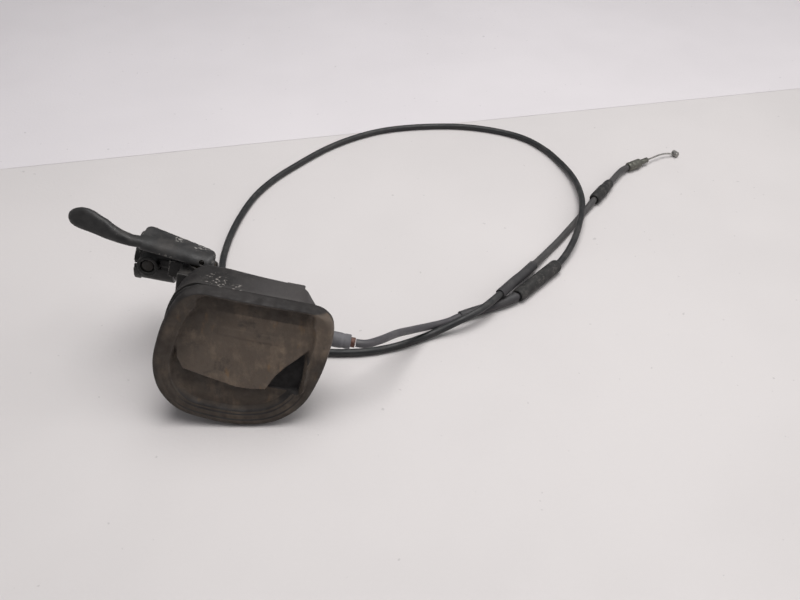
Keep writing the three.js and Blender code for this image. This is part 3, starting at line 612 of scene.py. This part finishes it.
def add_cables():
    near = smooth_route(NEAR_ROUTE)
    main = smooth_route(MAIN_ROUTE)
    greyed = conduit_material("dusty conduit", (0.064, 0.061, 0.067), (0.064, 0.061, 0.067), gloss=0.45)
    black = conduit_material("black conduit", (0.015, 0.016, 0.017), (0.06, 0.058, 0.058), share=0.79)
    sleeve = conduit_material("sleeve", (0.038, 0.037, 0.039), (0.038, 0.037, 0.039), gloss=0.5)

    cable_near = finished(tube("near_cable", near, CABLE_R), "root", "grey_conduit", greyed, "cable_near")
    cable_main = finished(tube("main_cable", main, CABLE_R), "root", "black_conduit", black, "cable_main")
    near_part = stretch_of(near, (39.3, 419.5, 3.9), ADJUSTER_AT - 1.8 * ADJUSTER_ALONG)
    far_part = stretch_of(main, (66, 434, 10.8), (94, 473.5, 5))
    near_sleeve = finished(tube("near_sleeve", near_part, SLEEVE_R, LOOSE_R), "root", "black_conduit", sleeve,
                           "sleeve_near")
    far_sleeve = finished(tube("far_sleeve", far_part, SLEEVE_R, LOOSE_R), "root", "black_conduit", sleeve,
                          "sleeve_far")

    adjuster = line_frame(ADJUSTER_AT, ADJUSTER_ALONG)
    profile = [(LOOSE_R, 0), (4.3, 0), (4.7, 1.2), (4.7, 20), (4.62, 21), (4.7, 22), (4.7, 44.6), (4, 46.3),
               (3.1, 46.3), (3.1, 45), (3.9, 44.2), (3.9, 1.2), (LOOSE_R, 1.2)]
    adjuster_boot = finished(turned("adjuster_rubber_boot", profile, adjuster, radius=0.8),
                             "root", "black_rubber", RUBBER, "adjuster_boot")
    for node in ("adjuster_barrel", "adjuster_screw", "adjuster_nut"):
        refined(node, 0.3, "root", "steel", STEEL)
    rusty = metal_material("rusty steel", (0.2, 0.12, 0.1), (0.13, 0.07, 0.055), (0.09, 0.045, 0.035),
                           (0.6, 0.8), 0.8)
    finished(
        turned("near_cable_ferrule", [(1.3, 46.4), (2.9, 46.4), (2.9, 54.6), (1.3, 54.6)],
               HOUSING @ Matrix.Translation((0, WIRE_AT[0] * MM, WIRE_AT[1] * MM)), radius=0.4),
        "root", "rusty_steel", rusty, "near_ferrule")

    boot_frame = line_frame(STRAIGHT_FROM, STRAIGHT_ALONG)
    profile = [(LOOSE_R, 0), (4, 0), (4.5, 1.6), (4.5, 8), (4.25, 9), (4.5, 10), (4.5, 17.6), (3.9, 19.6),
               (3.9, 26.6), (3.4, 29), (LOOSE_R, 29)]
    sliding = finished(turned("sliding_boot", profile, boot_frame, radius=0.7),
                       "cable_boot", "black_rubber", RUBBER, "far_boot")
    olive = metal_material("dulled passivated metal", (0.185, 0.185, 0.16), (0.135, 0.135, 0.118),
                           (0.095, 0.09, 0.075), (0.42, 0.6), 0.55)
    far_end = line_frame(FERRULE_AT, FERRULE_ALONG)
    profile = [(1.3, 0), (3.1, 0), (3.7, 0.9), (3.7, 3.2), (3.35, 3.6), (3.35, 4.4), (3.7, 4.8), (3.7, 13),
               (2.2, 13), (2.2, 15.2), (1.95, 15.6), (1.95, 16.2), (2.2, 16.6), (2.2, 22), (1.3, 22)]
    ferrule = finished(turned("stepped_ferrule", profile, far_end, radius=0.35), "root", "olive_metal", olive,
                       "far_ferrule")
    wire_line = [far_end @ (Vector(p) * MM) / MM + CENTRE for p in
                 ((15, 0, 0), (26, 0, 0), (37, 0, 0), (43, -0.8, -0.4), (48.5, -3, -1.1))]
    wire = tube("twisted_inner_wire", smooth_route(wire_line, 0.5), 0.75, sides=24, fluting=0.16, twist=22)
    finished(wire, "far_wire", "steel", STEEL, "inner_wire_far")
    barrel = refined("far_barrel", 0.2, "far_wire", "steel", STEEL)


def refined(node, voxel, body, slot, material, rounds=2):
    """A CAD node's shape with its edges rounded."""
    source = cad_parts[node]
    piece = linked(node + "_finished", source.data.copy(), source.matrix_world.copy())
    soften(piece, voxel, rounds)
    return finished(piece, body, slot, material, node)


# ---- housing ----
# Corners of the cover's edge and of the shell's edge, as x and z.
COVER_POINTS = [
    (-30, 81), (0, 81), (26.5, 81), (33.5, 79.8), (38.8, 75.6), (41.2, 68.5), (41.2, 58), (38.3, 37),
    (31.8, 18), (18.5, 4.2), (-1, -2.3), (-21, -2.3), (-38.2, 1.8), (-49, 12.7), (-53.6, 28), (-52.7, 44),
    (-49.2, 60), (-43.5, 73), (-37.5, 79),
]
SHELL_POINTS = [
    (-36, 84.5), (-8, 84.5), (20, 84.5), (25, 82.4), (30, 76), (37, 66), (40.8, 57), (37.5, 37), (31.5, 18),
    (18.5, 4.2), (-1, -2.3), (-21, -2.3), (-38.2, 1.8), (-49, 12.7), (-53.4, 28), (-52.9, 44), (-51, 62),
    (-47.8, 73), (-42.3, 80.8),
]
MIDDLE = Vector((-6, 43))


def closed_outline(corners, count, top):
    """Evenly spaced points of a closed smooth outline, as (x, z)."""
    wrapped = [(x, 0, z) for x, z in corners[-2:] + corners + corners[:3]]
    dense = smooth_route(wrapped, 0.5)
    first = Vector(wrapped[2])
    half = len(dense) // 2
    start = min(range(half), key=lambda i: (dense[i] - first).length)
    end = min(range(half, len(dense)), key=lambda i: (dense[i] - first).length)
    loop = dense[start : end + 1]
    lengths = [0.0]
    for p, q in zip(loop, loop[1:]):
        lengths.append(lengths[-1] + (q - p).length)
    result, k = [], 0
    for i in range(count):
        target = lengths[-1] * i / count
        while lengths[k + 1] < target:
            k += 1
        point = loop[k].lerp(loop[k + 1], (target - lengths[k]) / (lengths[k + 1] - lengths[k]))
        result.append(Vector((point.x, min(point.z, top))))
    return result


def step(low, high, value):
    t = min(max((value - low) / (high - low), 0.0), 1.0)
    return t * t * (3 - 2 * t)


def inside_by(polygon, x, z):
    """How far a point is inside a polygon, in mm; negative outside."""
    inside, nearest = False, 1e9
    for (ax, az), (bx, bz) in zip(polygon, polygon[1:] + polygon[:1]):
        if (az > z) != (bz > z) and x < ax + (z - az) / (bz - az) * (bx - ax):
            inside = not inside
        t = ((x - ax) * (bx - ax) + (z - az) * (bz - az)) / ((bx - ax) ** 2 + (bz - az) ** 2)
        t = min(max(t, 0.0), 1.0)
        nearest = min(nearest, math.hypot(x - ax - t * (bx - ax), z - az - t * (bz - az)))
    return nearest if inside else -nearest


# Outlines on the cover's face, as x and z: the raised pad, the pocket beside it, the ridge past the pocket and
# a plain low plate.
PAD = [(-42, 68), (-42.5, 45), (-41, 36), (-37, 29.5), (-23, 26.7), (-15, 25.3), (-6, 23.7), (2, 24),
       (10, 25.4), (13.8, 34), (18.7, 41), (24.4, 47.2), (30.6, 54.3), (36.5, 63), (36, 68)]
POCKET = [(11, 25.6), (20.7, 25.6), (28, 26.6), (28.8, 36), (28.6, 45), (28, 50.8), (24.6, 46.4),
          (19.4, 40.4), (14.6, 33.6)]
RIDGE = [(29.2, 26.4), (31.2, 29), (32.2, 38.5), (31.6, 49), (29.8, 50), (30.2, 38), (29.4, 30)]
BLANK_PLATE = [(-21.3, 59.2), (16.9, 58.6), (16.7, 53.6), (-20.6, 54.6)]


EDGE_DEPTH, EDGE_REACH = 2.9, 3.4  # how far back and how far in the rim's outer edge is rounded
TOP_DEPTH, TOP_REACH = 6.0, 2.5  # the same along the top, where the edge slopes back to the shell
RIM_WIDTH, TOP_RIM_WIDTH = 9.2, 2.6
RECESS_DEPTH, POCKET_DEPTH = 4.4, 5.2
PAD_FRONT, PAD_SLOPE = 0.2, 4.2  # the pad's depth at its foot, and how much deeper it is at its top
PAD_FOOT_Z, PAD_TOP_Z = 23.7, 66
RIDGE_RISE, PLATE_RISE = 2.0, 0.35


def cover_depth(x, z, inset, topness):
    """The front face's depth y in mm at a point, and how dusty it is, with painted light at the rim's right
    corner; in the pocket that value is below zero, which the cover's material paints near black as painted
    shade.
    """
    depth = 0.0
    if inset < EDGE_REACH:
        depth = EDGE_DEPTH * (1 - math.sqrt(1 - (1 - inset / EDGE_REACH) ** 2))
    sloping = TOP_DEPTH * max(0.0, 1 - inset / TOP_REACH) ** 1.7
    depth += (sloping - depth) * topness
    # Two terraces round the bottom rim, and one on the left.
    depth += step(36, 22, z) * (0.5 * step(4.0, 4.5, inset) + 0.5 * step(7.4, 7.9, inset))
    depth += step(-20, -30, x) * step(20, 34, z) * 0.45 * step(6.2, 6.8, inset)
    rim = RIM_WIDTH + (TOP_RIM_WIDTH - RIM_WIDTH) * topness
    depth += (RECESS_DEPTH - depth) * step(rim, rim + 2.6 + 0.6 * topness, inset)
    pad = inside_by(PAD, x, z)
    on_pad = step(-0.5, 0.5, pad)
    if inset > rim + 1.5 * topness:
        height = min(max((z - PAD_FOOT_Z) / (PAD_TOP_Z - PAD_FOOT_Z), 0.0), 1.0)
        depth += (min(depth, PAD_FRONT + PAD_SLOPE * height) - depth) * on_pad
    in_pocket = step(-0.4, 0.4, inside_by(POCKET, x, z))
    depth += (POCKET_DEPTH - depth) * in_pocket
    depth -= RIDGE_RISE * step(-0.5, 0.7, inside_by(RIDGE, x, z))
    depth -= PLATE_RISE * step(-0.35, 0.35, inside_by(BLANK_PLATE, x, z))
    # Dust lies on the pad, least at its upper left, along its worn foot and over the right of the rim; at the
    # rim's right corner the paler colour is partly dust and partly painted light from the right.
    dust = 0.2 + 0.8 * step(-48, -14, x - 0.75 * (z - 45)) * on_pad
    dust += 0.35 * math.exp(-((pad - 0.6) / 0.9) ** 2) * step(40, 30, z)
    dust = max(dust, 0.9 * step(20, 36, x) * step(52, 62, z) * step(4, 8, inset))
    dust = max(dust, 0.45 * step(24, 17, z) * step(8, 11, inset))
    # Painted light: the rim's right corner is made paler, partly for dust and partly for the light falling from
    # the right.
    rim_corner_dust_and_light = step(24, 34, x) * step(46, 60, z) * step(80.5, 77, z)
    dust = min(max(dust * step(0.5, 4, inset) + 0.08 + rim_corner_dust_and_light, 0.0), 1.0)
    # Below zero in the pocket: painted shade, which the cover's material turns near black.
    return depth, dust - in_pocket * (dust + 0.5)


COVER_SCREWS = [(-28, 32), (12, 32)]
BRACKET_SCREWS = [(-12, 68), (2, 50)]


def add_cover():
    around, inward = 300, 104  # points round the edge, and rings from the edge to the middle
    skirt, back = 7.5, 6.0  # how far back the skirt and the inside face stand
    outline = closed_outline(COVER_POINTS, around, COVER_TOP)
    points, dust = [], []
    for k in range(inward):
        share = (k / inward) ** 1.15
        for p in outline:
            q = p.lerp(MIDDLE, share)
            inset = share * (p - MIDDLE).length * 0.97
            topness = step(76, 81.5, p.y)
            depth, dirt = cover_depth(q.x, q.y, inset, topness)
            points.append((q.x, depth, q.y))
            dust.append(dirt)
    depth, dirt = cover_depth(*MIDDLE, 40, 0)
    points.append((MIDDLE.x, depth, MIDDLE.y))
    dust.append(dirt)
    faces = []
    for k in range(inward - 1):
        for i in range(around):
            j = (i + 1) % around
            faces.append((k * around + i, k * around + j, (k + 1) * around + j, (k + 1) * around + i))
    last, centre = (inward - 1) * around, inward * around
    faces += [(last + i, last + (i + 1) % around, centre) for i in range(around)]
    # The skirt runs back over the gasket, then the inside goes back to the middle.
    first = len(points)
    for depth, share in ((skirt, 0.0), (skirt, 0.022), (back, 0.022), (back, 0.3)):
        for p in outline:
            q = p.lerp(MIDDLE, share)
            points.append((q.x, depth, q.y))
            dust.append(0.1)
    points.append((MIDDLE.x, back, MIDDLE.y))
    dust.append(0.1)
    starts = [0] + [first + k * around for k in range(4)]
    for a, b in zip(starts, starts[1:]):
        faces += [(a + i, a + (i + 1) % around, b + (i + 1) % around, b + i) for i in range(around)]
    faces += [(starts[-1] + i, starts[-1] + (i + 1) % around, len(points) - 1) for i in range(around)]
    mesh = bpy.data.meshes.new("detailed_cover")
    mesh.from_pydata([tuple(Vector(p) * MM) for p in points], [], faces)
    # The dust attribute also carries painted light at the rim's right corner and, below zero, painted shade in
    # the pocket.
    attribute = mesh.attributes.new("dust", "FLOAT", "POINT")
    attribute.data.foreach_set("value", dust)
    cover = linked("detailed_cover", mesh, HOUSING)
    tidy_mesh(cover, 60)
    bosses = [rod_cutter(3.4, (x, back - 0.6, z), (x, 22, z), HOUSING) for x, z in COVER_SCREWS]
    cut(cover, bosses, "UNION")
    cut(cover, [rod_cutter(1.8, (x, 12, z), (x, 23, z), HOUSING) for x, z in COVER_SCREWS])
    mark_edges(cover.data)
    finished(cover, "root", "cover", cover_dust_and_painted_light_material(), "front_cover")


def shell_ring(outline, y, scale, drop=0.0, fall=0.0, fall_right=0.0):
    """The shell's edge at a depth y. Its top side is lowered by fall, and by fall_right per mm to the right."""
    ring = []
    for p in outline:
        lowered = (fall + fall_right * max(0, p.x + 24)) * max(0, (p.y - 60) / (TOP - 60))
        ring.append((-8 + (p.x + 8) * scale, y, TOP - drop - (TOP - p.y) * scale - lowered))
    return ring


def add_shell():
    outline = closed_outline(SHELL_POINTS, 220, TOP)
    outer = [(7.2, 0.965, 0, 3.35), (9.5, 0.962, 0, 2.75), (12.5, 0.955, 0, 2.0), (15.5, 0.948, 0, 1.3),
             (18, 0.94, 0, 0.7), (20.5, 0.922, 0, 0.2, 0.012), (22.6, 0.897, 0.1, 0, 0.035),
             (24.4, 0.862, 0.45, 0, 0.06), (26, 0.82, 1.5, 0, 0.06), (27.2, 0.775, 3.1, 0, 0.055),
             (28, 0.715, 5.2, 0, 0.05), (28, 0.5, 15, 0, 0.03)]
    inner = [(7.2, 0.915, 3.4, 3.4), (17, 0.91, 2.5, 0.8), (20, 0.885, 2.7, 0.3), (22.5, 0.83, 3, 0, 0.05),
             (24.6, 0.75, 5, 0, 0.05), (25.5, 0.68, 7, 0, 0.05), (25.5, 0.45, 18, 0, 0.03)]
    rings = [shell_ring(outline, *s) for s in reversed(outer)] + [shell_ring(outline, *s) for s in inner]
    shell = loft("detailed_shell", rings, HOUSING)
    latch = box_cutter((11, 21.6), (19, 24.6), (77, 82.7), HOUSING)
    bevel = latch.modifiers.new("bevel", "BEVEL")
    bevel.width = 0.9 * MM
    bevel.segments = 4
    apply_modifiers(latch)
    cut(shell, [latch], "UNION")
    y, z = WIRE_AT
    arm_slot = box_cutter((-47, -25.5), (22, 30), (53, 62), HOUSING)
    fitting_hole = rod_cutter(3.6, (30, y, z), (46, y, z), HOUSING)
    nut_space = rod_cutter(6.3, (20, y, z), (33.9, y, z), HOUSING)
    cut(shell, [arm_slot, fitting_hole, nut_space])
    cut(shell, [rod_cutter(2, (x, 20, z), (x, 32, z), HOUSING) for x, z in COVER_SCREWS + BRACKET_SCREWS])
    tidy_mesh(shell, 40)
    mark_edges(shell.data)
    finished(shell, "root", "housing", scuffed_plastic_material(), "housing_shell")


def add_exit_boot():
    profile = [(3.4, 41), (4.5, 41), (4.45, 46.5), (4.15, 47.6), (4.15, 48.2), (4.3, 49), (4.25, 52),
               (3.4, 52)]
    at = HOUSING @ Matrix.Translation((0, WIRE_AT[0] * MM, WIRE_AT[1] * MM))
    boot = turned("cable_exit_boot", profile, at, radius=0.5)
    grey = rubber_material("blue-grey rubber", (0.115, 0.113, 0.122), (0.15, 0.147, 0.157), 0.35)
    finished(boot, "root", "grey_rubber", grey, "exit_boot")


# ---- lever ----
# Stations of the lever's blade: x, y and z of its middle, half its height and half its thickness.
BLADE = [
    (-64, 46.5, 79.3, 3.0, 4.4), (-74, 46.2, 79.2, 3.1, 4.2), (-80, 46.0, 79.1, 3.2, 3.9),
    (-86, 46.6, 79.8, 3.9, 3.7), (-91, 47.6, 80.8, 4.8, 3.6), (-95, 48.6, 81.9, 5.9, 3.5),
    (-99, 49.7, 82.6, 6.2, 3.5), (-103, 50.7, 83.6, 6.8, 3.4), (-107, 51.7, 84.0, 7.0, 3.3),
    (-111, 52.7, 83.8, 6.6, 3.1), (-114, 53.4, 83.4, 5.7, 2.8), (-116.5, 53.9, 83.1, 4.2, 2.2),
    (-117.9, 54.2, 83.0, 2.4, 1.4), (-118.3, 54.3, 83.0, 0.9, 0.6),
]
# The hub's outline: x, y and the share that each point takes of the rounding along the front edge.
HUB = [
    (-34.5, 33, 1), (-32, 35.5, 0.7), (-31.2, 39, 0.2), (-32.5, 43.5, 0), (-36, 46.6, 0), (-71.5, 61.6, 0),
    (-74.1, 61, 0), (-75, 58.6, 0), (-75, 53.5, 0.1), (-75, 50.4, 0.3), (-75, 43.6, 1), (-74, 41.2, 1),
    (-60, 38.5, 1), (-44, 34.5, 1),
]
# Each height of the hub, and how far back its front edge stands there.
HUB_ROUNDING = [(76.1, 0.9), (77, 0), (78.4, 0), (79.7, 0.5), (80.9, 1.5), (81.9, 3.0), (82.6, 4.8),
                (83, 7.0)]
PIVOT = (-38, 42)


def add_lever():
    count = 28
    rings = []
    for x, y, z, tall, thick in BLADE:
        ring = []
        for k in range(count):
            a = 2 * math.pi * k / count
            ring.append((x, y + thick * math.copysign(abs(math.cos(a)) ** 0.85, math.cos(a)),
                         z + tall * math.copysign(abs(math.sin(a)) ** 0.85, math.sin(a))))
        rings.append(ring)
    lever = loft("smooth_lever", rings, HOUSING)
    hub_rings = [[(x, y + back * share, z) for x, y, share in HUB] for z, back in HUB_ROUNDING]
    hub = loft("hub", hub_rings, HOUSING)
    cut(lever, [hub], "UNION")
    soften(lever, 0.55, 6)
    cut(lever, [rod_cutter(3.8, (*PIVOT, 70), (*PIVOT, 81.6), HOUSING),
                rod_cutter(1.6, (PIVOT[0], 30, 79.2), (PIVOT[0], 50, 79.2), HOUSING)])
    tidy_mesh(lever, 50)
    mark_edges(lever.data, 3)
    paint = painted_alloy_material("painted lever", 1.0, (0.02, 0.0197, 0.0197))
    finished(lever, "lever", "cast_alloy", paint, "thumb_lever")


def add_fittings():
    # The bracket and clamp cap take a darker tone than the lever: partly grime, partly painted shade under the
    # lever.
    casting = painted_alloy_material("painted casting", 0.7, (0.012, 0.0115, 0.011))
    # The bushings' bronze is kept dark, as dark as the gap under the lever's hub where it shows.
    bronze = metal_material("dark bearing bronze", (0.1, 0.075, 0.045), (0.06, 0.045, 0.03),
                            (0.025, 0.02, 0.017))
    refined("pivot_bracket", 0.5, "root", "cast_alloy", casting, 3)
    refined("clamp_cap", 0.4, "root", "cast_alloy", casting, 3)
    for node in ("upper_bushing", "lower_bushing"):
        refined(node, 0.3, "root", "bushing_bronze", bronze)
    fixed = ["cover_screw_left", "cover_screw_right", "bracket_screw_upper", "bracket_screw_lower",
             "clamp_lock_screw", "clamp_washer", "clamp_screw", "cable_fitting", "fitting_nut"]
    for node in fixed:
        refined(node, 0.25, "root", "steel", DARK_STEEL if node.startswith("clamp_") else STEEL)
    for node in ("pivot_shaft", "lever_pin", "retaining_ring", "throttle_arm", "near_barrel"):
        refined(node, 0.25, "lever", "steel", DARK_STEEL if node in ("pivot_shaft", "lever_pin") else STEEL)
    refined("return_spring", 0.16, "root", "steel", STEEL, 1)
    refined("inner_wire_near", 0.2, "near_wire", "steel", STEEL, 1)
    refined("cover_gasket", 0.3, "root", "black_rubber", RUBBER)


add_cables()
add_cover()
add_shell()
add_exit_boot()
add_lever()
add_fittings()
